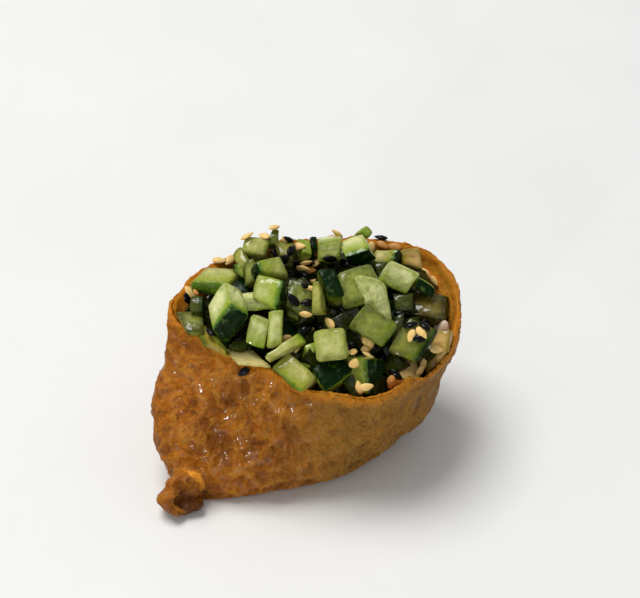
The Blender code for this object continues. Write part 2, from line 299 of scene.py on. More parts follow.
def round_off(piece, rounds):
    """Turns the flat facets into curves."""
    curve = piece.modifiers.new("round", "SUBSURF")
    curve.levels = curve.render_levels = rounds
    apply_modifiers(piece)


def remeshed(piece, voxel, smoothing):
    """Rebuilds a piece as one even skin of small quads and smooths it."""
    even = piece.modifiers.new("even", "REMESH")
    even.mode = "VOXEL"
    even.voxel_size = voxel * MM
    melt = piece.modifiers.new("melt", "SMOOTH")
    melt.iterations = smoothing
    apply_modifiers(piece)
    piece.data.materials.clear()


def finished(piece, finish, slot, *nodes):
    """Gives a piece its finish and its place in the frame."""
    piece.data.materials.append(finish.material)
    piece.data.shade_smooth()
    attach(piece, "root")
    if nodes:
        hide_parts(*nodes)
    triangles = sum(len(face.vertices) - 2 for face in piece.data.polygons)
    print(f"{piece.name}: {triangles} triangles")


def keep(piece, name, numbers):
    """Stores a number at each point of the mesh, for the material to read."""
    piece.data.attributes.new(name, "FLOAT", "POINT").data.foreach_set("value", numbers)


def points_of(piece):
    places = np.empty(len(piece.data.vertices) * 3, dtype=np.float32)
    piece.data.vertices.foreach_get("co", places)
    return places.reshape(-1, 3).astype(float) / MM


def normals_of(piece):
    ways = np.empty(len(piece.data.vertices) * 3, dtype=np.float32)
    piece.data.vertex_normals.foreach_get("vector", ways)
    return ways.reshape(-1, 3).astype(float)


def soft_step(values, low, high):
    """The step method again, for numbers instead of nodes."""
    share = np.clip((values - low) / (high - low), 0.0, 1.0)
    return share * share * (3 - 2 * share)


# %% [markdown]
# ## The fried tofu pouch
# A sheet of tofu is fried until it blows up, slit open, and simmered in sweet soy broth until
# its skin is limp and wet. So the wall is thick and soft: it carries broad puffs, small
# crinkles all over, and a few real folds. Sculpting would do for one copy. Here the skin is an
# even voxel mesh of the CAD pouch, and each point moves along its normal by a height that is
# worked out: noise for what is chance, and strokes for the folds that have a place of their
# own. The same height is stored on the mesh, because the material paints shade into the
# creases and light onto the crests from it. The corner at the front left is curled up, so a
# ring of lumps is laid round its hollow before the remesh.

# %% An even skin from the CAD pouch
VOXEL = 0.45

EAR_LOBES = (  # place, radii
    ((-25.0, -21.0, 8.6), (1.5, 1.3, 1.4)),
    ((-27.0, -20.9, 8.2), (1.5, 1.3, 1.3)),
    ((-28.8, -21.3, 7.2), (1.3, 1.2, 1.3)),
    ((-30.0, -22.1, 5.6), (1.1, 1.1, 1.3)),
    ((-30.2, -23.2, 4.2), (0.9, 1.0, 1.2)),
    ((-26.6, -21.6, 2.7), (3.4, 1.9, 2.4)),
    ((-24.2, -22.6, 2.4), (2.2, 1.3, 1.7)),
)


def lobe(mesh, place, radii):
    """Adds a soft lump that the remesh will melt into the rest."""
    where = Matrix.Translation(Vector(place) * MM) @ Matrix.Diagonal((*[side * MM for side in radii], 1.0))
    bmesh.ops.create_icosphere(mesh, subdivisions=2, radius=1.0, matrix=where)


pouch = copy_of("tofu_pouch", "fried_tofu_pouch")
round_off(pouch, rounds=2)
shape = bmesh.new()
shape.from_mesh(pouch.data)
for place, radii in EAR_LOBES:
    lobe(shape, place, radii)
shape.to_mesh(pouch.data)
shape.free()
remeshed(pouch, VOXEL, smoothing=8)
spots = points_of(pouch)
ways = normals_of(pouch)
print("pouch points:", len(spots))

# %% [markdown]
# To know what a point belongs to, the pouch is measured: the middle of its foot and of its
# mouth give an axis, and a point whose normal looks away from that axis is on the outside. The
# mouth slopes to the front right, so heights in it are counted from a sloping level. The
# height of the lip itself is read off in a ring of sectors.

# %% Which way is out, and how far below the lip
SECTORS = 90
FOOT_BELOW = 1.0
LIP_ABOVE = -3.0  # from the level of the mouth
MOUTH_SLOPE = Vector((0.11, -0.19, 1.0)).normalized()
MOUTH_AT = Vector((0.0, 0.0, 35.2))


def level(x, y):
    """The height of the level through the lip at a place."""
    return MOUTH_AT.z - (MOUTH_SLOPE.x * x + MOUTH_SLOPE.y * y) / MOUTH_SLOPE.z


over_mouth = spots[:, 2] - level(spots[:, 0], spots[:, 1])
foot_middle = spots[spots[:, 2] < FOOT_BELOW].mean(axis=0)
mouth_middle = spots[over_mouth > LIP_ABOVE].mean(axis=0)
share_up = np.clip(spots[:, 2:3] / mouth_middle[2], 0.0, 1.0)
from_axis = spots[:, :2] - (foot_middle + (mouth_middle - foot_middle) * share_up)[:, :2]
from_axis /= np.linalg.norm(from_axis, axis=1, keepdims=True)
facing_out = (from_axis * ways[:, :2]).sum(axis=1)
outside = soft_step(facing_out, -0.25, 0.25)

angles = np.arctan2(spots[:, 1] - mouth_middle[1], spots[:, 0] - mouth_middle[0])
sector = ((angles / (2 * math.pi) % 1.0) * SECTORS).astype(int) % SECTORS
lip = np.array([spots[sector == k, 2].max() for k in range(SECTORS)])
lip = (np.roll(lip, 1) + lip + np.roll(lip, -1)) / 3
below_lip = np.maximum(lip[sector] - spots[:, 2], 0.0)
print("lip height in mm:", round(lip.min(), 1), "to", round(lip.max(), 1))

# %% [markdown]
# The chance part of the relief has three sizes. Broad puffs and soft lumps are plain noise.
# Wrinkles use the absolute value of noise: it falls to zero along winding lines, and those are
# raised as thin ridges. The grain is noise stretched along a line: it runs up and down at the
# left, where the skin hangs from the lip, and along the lower edge at the right.

# %% Puffs, crinkles and grain
PUFF, PUFF_SIZE = 0.5, 8.0
SWELL, SWELL_SIZE = 0.40, 3.2
WRINKLE, WRINKLE_SIZE = 0.36, 3.8
FINE, FINE_SIZE = 0.14, 1.9
GRAIN, GRAIN_SIZE = 0.16, 1.3
GRAIN_STRETCH = 0.8
RIDGE_MEAN = 0.3  # taken off, so that ridges don't make the pouch thicker
CELL_STEEPNESS = 2.2
WANDER, WANDER_SIZE = 1.6, 5.0
RIGHT_FROM, RIGHT_OVER = -6.0, 18.0  # where the left gives way to the right
LEFT_GRAIN = Vector((-0.15, -0.45, 0.88)).normalized()
RIGHT_GRAIN = Vector((0.90, 0.19, 0.39)).normalized()


def wandering(point):
    """The point moved a little by noise, so that no pattern keeps to straight lines."""
    return point + noise.noise_vector(point / WANDER_SIZE) * WANDER


def cells(point, size, seed):
    """Rounded cells with sharp creases between them: 0 in a crease, 1 high on a cell."""
    return min(abs(noise.noise(point / size + Vector((seed, seed * 0.7, 4.1)))) * CELL_STEEPNESS, 1.0)


def ridges(point, size, seed):
    """Winding ridges: 1 on a crest and 0 between them."""
    return (1.0 - cells(point, size, seed)) ** 2


def grain(point, along, seed):
    squeezed = point - along * point.dot(along) * GRAIN_STRETCH
    return ridges(squeezed, GRAIN_SIZE, seed)


def chance_relief(place):
    point = wandering(Vector(place))
    rightness = min(max((place[0] - RIGHT_FROM) / RIGHT_OVER, 0.0), 1.0)
    puff = noise.noise(point / PUFF_SIZE + Vector((1.7, 5.2, 3.3))) * PUFF
    swell = noise.noise(point / SWELL_SIZE + Vector((7.1, 0.4, 2.6))) * SWELL
    wrinkle = (ridges(point, WRINKLE_SIZE, 2.3) - RIDGE_MEAN) * WRINKLE * (1.0 - 0.5 * rightness)
    fine = (ridges(point, FINE_SIZE, 6.1) - RIDGE_MEAN) * FINE
    left = grain(point, LEFT_GRAIN, 3.7) * (1.0 - rightness)
    right = grain(point, RIGHT_GRAIN, 8.9) * rightness
    return puff, swell + wrinkle + fine + (left + right - RIDGE_MEAN) * GRAIN


drawn = np.array([chance_relief(place) for place in spots])
print("crinkles in mm:", drawn[:, 1].min().round(2), "to", drawn[:, 1].max().round(2))

# %% [markdown]
# The folds with a place of their own are strokes: a line through a few points on the skin, a
# height in millimetres (below zero for a crease) and how wide it is. A bell curve over the
# distance from the line gives each stroke soft sides.

# %% Strokes
STROKES = (  # height, half width, points
    (0.5, 1.8, ((-22.6, -8.5, 26.0), (-22.4, -11.5, 21.1), (-23.2, -14.9, 16.4), (-25.2, -17.5, 12.5))),
    (-0.5, 1.6, ((-27.4, -6.5, 25.0), (-27.1, -9.8, 20.8), (-27.6, -14.0, 16.2), (-28.0, -16.5, 12.0))),
    (-0.6, 2.6, ((-18.6, -16.6, 16.0), (-17.2, -18.2, 12.6))),  # the dark hollow
    (-0.5, 1.6, ((-16.6, -13.8, 22.5), (-13.8, -15.6, 20.6))),
    (-0.5, 0.8, ((-13.2, -11.8, 28.0), (-13.0, -13.6, 24.3), (-11.6, -17.0, 18.2))),
    (0.4, 1.1, ((-11.4, -13.2, 27.0), (-10.6, -15.4, 23.2), (-9.4, -17.6, 18.4))),
    (-0.4, 0.7, ((-8.6, -15.4, 24.0), (-7.6, -17.0, 20.5), (-9.0, -18.2, 16.5))),
    (0.5, 0.9, ((21.0, -15.8, 27.7), (18.6, -15.9, 23.5), (16.1, -16.0, 19.2), (14.5, -15.6, 14.6))),
    (-0.4, 0.9, ((22.4, -13.6, 25.0), (20.0, -13.6, 20.5), (18.0, -13.4, 16.0))),
    (0.5, 0.9, ((-19.6, -20.0, 2.6), (-12.0, -19.8, 4.4), (-6.5, -19.4, 6.4), (-1.0, -19.0, 7.6))),
    (-0.4, 0.6, ((-18.0, -19.8, 5.2), (-11.0, -19.8, 7.0), (-4.0, -19.4, 9.2))),
    (-0.7, 1.1, ((-30.5, -16.6, 7.4), (-28.4, -17.9, 9.4), (-24.6, -18.4, 10.9), (-21.4, -19.4, 7.6))),
)


def off_line(places, line):
    """How far each place is from the nearest point of a line."""
    nearest = np.full(len(places), np.inf)
    for start, end in zip(np.array(line), np.array(line[1:])):
        run = end - start
        share = np.clip((places - start) @ run / (run @ run), 0.0, 1.0)
        nearest = np.minimum(nearest, np.linalg.norm(places - start - share[:, None] * run, axis=1))
    return nearest


def drawn_strokes(strokes):
    return sum(amount * np.exp(-((off_line(spots, line) / wide) ** 2)) for amount, wide, line in strokes)


folds = drawn_strokes(STROKES)
print("folds in mm:", folds.min().round(2), "to", folds.max().round(2))

# %% [markdown]
# Patches along some folds, and most of all the hollow of the curled corner, get painted shade.
# These are strokes too, but they hold a share of painted shade instead of a height.

# %% Painted shade in the hollow and along folds
# Painted shade: each row darkens the skin along its line, in hollows and folds.
HOLLOW_SHADE_STROKES = (  # share, half width, points
    (1.3, 3.0, ((-25.8, -22.6, 3.2), (-23.6, -22.2, 2.2))),  # in the curl
    (0.6, 1.0, ((-29.4, -18.2, 9.4), (-27.0, -19.4, 10.2))),
    (0.45, 2.6, ((-18.6, -16.6, 16.0), (-17.2, -18.2, 12.6))),
    (0.25, 1.8, ((-16.6, -13.8, 22.5), (-13.8, -15.6, 20.6))),
    (0.2, 1.2, ((-13.2, -11.8, 28.0), (-13.0, -13.6, 24.3), (-11.6, -17.0, 18.2))),
)

hollow_shade = np.clip(drawn_strokes(HOLLOW_SHADE_STROKES), 0.0, 1.0)
print("most soaked:", hollow_shade.max().round(2))

# %% [markdown]
# All three are added up. Inside the pouch only a third of it is used, and the foot keeps flat:
# the relief fades out near the floor, where the weight of the rice presses the skin down. The
# curled ear is crumpled more than the rest. The lip is ragged, and thinner than the wall along
# the front. It also rises and dips where the sheet was pulled open by hand, so each row of
# changes lifts or lowers it around one place.

# %% The pouch takes its relief
INSIDE_SHARE = 0.3
LIP_RAGGED, LIP_SIZE = 0.5, 2.2
LIP_THINS = 1.25  # how much thinner the wall gets towards its edge
LIP_THIN_DEPTH = 4.0
FRONT_LIP_DROPS = 0.7
LIP_CHANGES = (  # x, y, reach, rise
    (-28.5, 7.0, 3.0, -1.5),
    (-26.5, 2.0, 5.0, -3.6),
    (-18.5, -5.5, 4.0, -1.8),
    (-7.5, -12.0, 3.0, 1.0),
    (-1.5, -15.2, 3.0, -1.0),
    (20.0, -16.2, 4.0, 2.6),
)
LIP_CHANGE_DEPTH = 9.0
EAR_AT, EAR_REACH, EAR_FADE = (-27.5, -21.5, 5.0), 4.5, 2.0
EAR_CRUMPLE, EAR_CRUMPLE_SIZE = 0.8, 2.0
STANDS_FREE = (0.3, 3.0)  # heights between which the skin leaves the floor


def noise_at(size):
    return np.array([noise.noise(Vector(place) / size) for place in spots])


crinkles = drawn[:, 1]
standing = soft_step(spots[:, 2], *STANDS_FREE)
amount = (INSIDE_SHARE + (1 - INSIDE_SHARE) * outside) * standing
relief = (drawn[:, 0] + crinkles + folds) * amount
from_ear = np.linalg.norm(spots - np.array(EAR_AT), axis=1)
near_ear = soft_step(-from_ear, -EAR_REACH - EAR_FADE, -EAR_REACH)
relief += EAR_CRUMPLE * noise_at(EAR_CRUMPLE_SIZE) * near_ear * standing
moved = spots + ways * relief[:, None]
at_lip = soft_step(-below_lip, -LIP_THIN_DEPTH, -0.3)
at_front = soft_step(-from_axis[:, 1], 0.1, 0.6)
moved[:, :2] += from_axis * (LIP_THINS * at_lip * at_front * (1.0 - outside))[:, None]
moved[:, 2] += LIP_RAGGED * noise_at(LIP_SIZE) * soft_step(-below_lip, -2.5, 0.0)
moved[:, 2] -= FRONT_LIP_DROPS * at_lip * at_front
near_top = soft_step(-below_lip, -LIP_CHANGE_DEPTH, -0.5)
for x, y, reach, rise in LIP_CHANGES:
    away = np.hypot(spots[:, 0] - x, spots[:, 1] - y)
    moved[:, 2] += rise * near_top * np.exp(-((away / reach) ** 2))
moved[:, 2] = np.maximum(moved[:, 2], 0.0)
pouch.data.vertices.foreach_set("co", (moved * MM).ravel())
keep(pouch, "relief", crinkles)
keep(pouch, "hollow_shade", hollow_shade)
keep(pouch, "below_lip", below_lip)
keep(pouch, "inside", 1.0 - outside)
print("relief in mm:", relief.min().round(2), "to", relief.max().round(2))

# %% [markdown]
# ### Finish of the fried skin
# The skin is honey brown where it is thin and stretched, and more orange near the lip. Its
# creases get red-brown painted shade and its raised crests a little painted light, both from
# the stored height, and painted shade also lies in the hollow of the curl and along some folds.
# The inside of the wall is painted much lighter, as light that the lamps don't bring there. At
# the right it is drier and turns olive. Broth stands on it in small spots. Those carry a clear
# coat, so that the bulb sparkles in their wrinkles; the lip has none, and the right has little.
# A coat all over would be easier, but it would mirror the sky and make the skin grey. Crumples
# and pores too small for the mesh are bumps.

# %% Fried tofu material
HONEY = (0.38, 0.136, 0.009)
GOLD = (0.48, 0.222, 0.026)
BROWN = (0.20, 0.064, 0.005)
SHADE_UMBER = (0.06, 0.016, 0.002)
# The darkest brown is painted shade, laid in the creases and in the hollows.
OLIVE = (0.23, 0.132, 0.022)
RIM = (0.52, 0.205, 0.012)
# The lining is painted light: much lighter than the skin, for lamp light the inner wall doesn't get.
LIT_LINING = (0.95, 0.420, 0.050)

fried = Finish("fried_tofu", {
    "IOR": 1.40, "Subsurface Weight": 0.12, "Subsurface Scale": 1.2 * MM,
    "Subsurface Radius": (1.0, 0.45, 0.15), "Specular IOR Level": 0.12,
    "Coat Roughness": 0.13,
})
height = fried.stored("relief")
near_lip = fried.step(fried.stored("below_lip"), 4.5, 0.2)
inner = fried.stored("inside")
blotches = fried.noise(6.0, detail=4.0, rough=0.6, warp=0.4)
specks = fried.noise(0.9, detail=3.0, rough=0.6)
along = fried.node("ShaderNodeSeparateXYZ", {}, {"Vector": fried.where()}, output="X")
rightness = fried.step(along, -11 * MM, 10 * MM)
pores = fried.noise(0.55, detail=1.5, rough=0.5)
crumpled = fried.noise(1.3, detail=1.0, rough=0.5)

golden = fried.step(blotches, 0.35, 0.65)
colour = fried.blend(golden, BROWN, HONEY)
# Painted light: the raised crests of the relief are blended towards gold.
colour = fried.blend(fried.step(height, 0.0, 0.35) * 0.45, colour, GOLD)
colour = fried.blend(rightness * 0.75, colour, OLIVE)
# Painted shade: the creases of the relief are blended towards the darkest brown.
colour = fried.blend(fried.step(height, -0.03, -0.35) * 0.45, colour, SHADE_UMBER)
colour = fried.blend(near_lip * 0.75, colour, RIM)
# Painted light over the inside of the wall, apart from the lip.
colour = fried.blend(inner * 0.8 * (1.0 - near_lip), colour, LIT_LINING)
colour = fried.blend(fried.step(specks, 0.30, 0.75) * 0.5, colour, GOLD, how="SOFT_LIGHT")
# Painted shade in the hollow of the curl and along some folds.
colour = fried.blend(fried.stored("hollow_shade") * 0.9, colour, SHADE_UMBER)
fried.shows("Base Color", colour)
wet = fried.step(fried.noise(2.2, detail=4.0, rough=0.6), 0.46, 0.62) * (1.0 - 0.7 * rightness)
fried.shows("Roughness", 0.50 - 0.1 * wet)
fried.shows("Coat Weight", wet * (0.15 + 0.65 * golden) * (1.0 - near_lip))
fried.shows("Normal", fried.bump(pores, 0.05, under=fried.bump(crumpled * (1.0 - 0.8 * inner), 1.15)))

finished(pouch, fried, "fried_tofu", "tofu_pouch")

# %% [markdown]
# ## What holds the cucumber up
# Under the loose pieces lies more cucumber that nobody sees, except as the dark ground of the
# gaps. It is the CAD heap cut off below its top, with lumps as large as the pieces.

# %% Core of the heap
CORE_BELOW_MOUTH = 4.4
CORE_VOXEL = 0.7
LUMP, LUMP_SIZE = 1.6, 4.5
LUMP_TOP = 0.75  # the height on a lump that keeps its place

core = copy_of("cucumber_heap", "cucumber_core")
cut = bmesh.new()
cut.from_mesh(core.data)
bmesh.ops.bisect_plane(
    cut, geom=cut.verts[:] + cut.edges[:] + cut.faces[:], clear_outer=True,
    plane_co=(MOUTH_AT - MOUTH_SLOPE * CORE_BELOW_MOUTH) * MM, plane_no=MOUTH_SLOPE,
)
bmesh.ops.holes_fill(cut, edges=[edge for edge in cut.edges if edge.is_boundary])
bmesh.ops.triangulate(cut, faces=cut.faces)
cut.to_mesh(core.data)
cut.free()
remeshed(core, CORE_VOXEL, smoothing=4)
core_spots = points_of(core)
lumps = np.array([cells(Vector(place), LUMP_SIZE, 5.5) for place in core_spots])
core_moved = core_spots + normals_of(core) * ((lumps - LUMP_TOP) * LUMP)[:, None]
core.data.vertices.foreach_set("co", (core_moved * MM).ravel())
print("core top in mm:", core_moved[:, 2].max().round(1))

# %% [markdown]
# ## Cucumber
# A cucumber is quartered and diced. So a piece has at most one face of dark waxy skin, a vivid
# green band about a millimetre deep behind it, then paler flesh, and near the seeds a wet,
# almost clear core. Each piece starts as a cube, stretched to its sides, bevelled and
# subdivided. Its points are then moved: the skin bulges, cut faces are a little uneven, and
# some pieces taper or lean. Each point stores how deep under the skin it lies, and the
# material turns that depth into colour.

# %% One piece of cucumber
BEVEL, BEVEL_STEPS = 0.24, 3
BEVEL_LIMIT = 0.4  # of the shortest side
LONG_EDGE, CUTS = 1.0, 3
CUCUMBER_NUMBERS = ("under_skin", "pale_and_lit", "amber_reflection", "near_edge")
BULGE = 0.25
UNEVEN, UNEVEN_SIZE = 0.20, 2.2


def cucumber_piece(
    heap, chance, place, sides, faces, runs, pale_and_lit,
    depth=0.0, amber_reflection=0.0, soft=BEVEL, lean=(0.0, 0.0), taper=(0.0, 0.0),
):
    """Adds a piece. Its third side runs along the way the skin faces, its first along its edge."""
    mesh = bmesh.new()
    kept = {}
    for name in CUCUMBER_NUMBERS:
        mesh.verts.layers.float.new(name)
    for name in CUCUMBER_NUMBERS:
        kept[name] = mesh.verts.layers.float[name]
    bmesh.ops.create_cube(mesh, size=1.0, matrix=Matrix.Diagonal((*sides, 1.0)))
    bmesh.ops.bevel(
        mesh, geom=mesh.edges[:], offset=min(soft, min(sides) * BEVEL_LIMIT), segments=BEVEL_STEPS,
        profile=0.5, affect="EDGES", material=-1,
    )
    long_edges = [edge for edge in mesh.edges if edge.calc_length() > LONG_EDGE]
    bmesh.ops.subdivide_edges(mesh, edges=long_edges, cuts=CUTS, use_grid_fill=True)
    seed = Vector((chance.uniform(0, 99), chance.uniform(0, 99), 0.0))
    half = Vector(sides) / 2
    for vert in mesh.verts:
        x, y, z = (vert.co[k] / half[k] for k in range(3))
        vert[kept["under_skin"]] = depth + half.z - vert.co.z
        vert[kept["pale_and_lit"]] = pale_and_lit
        vert[kept["amber_reflection"]] = amber_reflection
        vert[kept["near_edge"]] = sorted((abs(x), abs(y), abs(z)))[1]
        shape = vert.co.copy()
        shape.x *= (1 + taper[0] * y) * (1 + taper[1] * z)
        shape.x += lean[0] * shape.y + lean[1] * shape.z
        shape.z += BULGE * (1 - (x * x + y * y) / 2) * z
        shape.y += BULGE * (1 - (x * x + z * z) / 2) * y
        vert.co = shape + noise.noise_vector(vert.co / UNEVEN_SIZE + seed) * UNEVEN
    skin_way = Vector(faces).normalized()
    across = skin_way.cross(Vector(runs)).normalized()
    turn = Matrix((across.cross(skin_way), across, skin_way)).transposed().to_4x4()
    where = Matrix.Translation(Vector(place) * MM) @ turn @ Matrix.Scale(MM, 4)
    bmesh.ops.transform(mesh, matrix=where, verts=mesh.verts)
    data = bpy.data.meshes.new("piece")
    mesh.to_mesh(data)
    mesh.free()
    heap.from_mesh(data)
    bpy.data.meshes.remove(data)
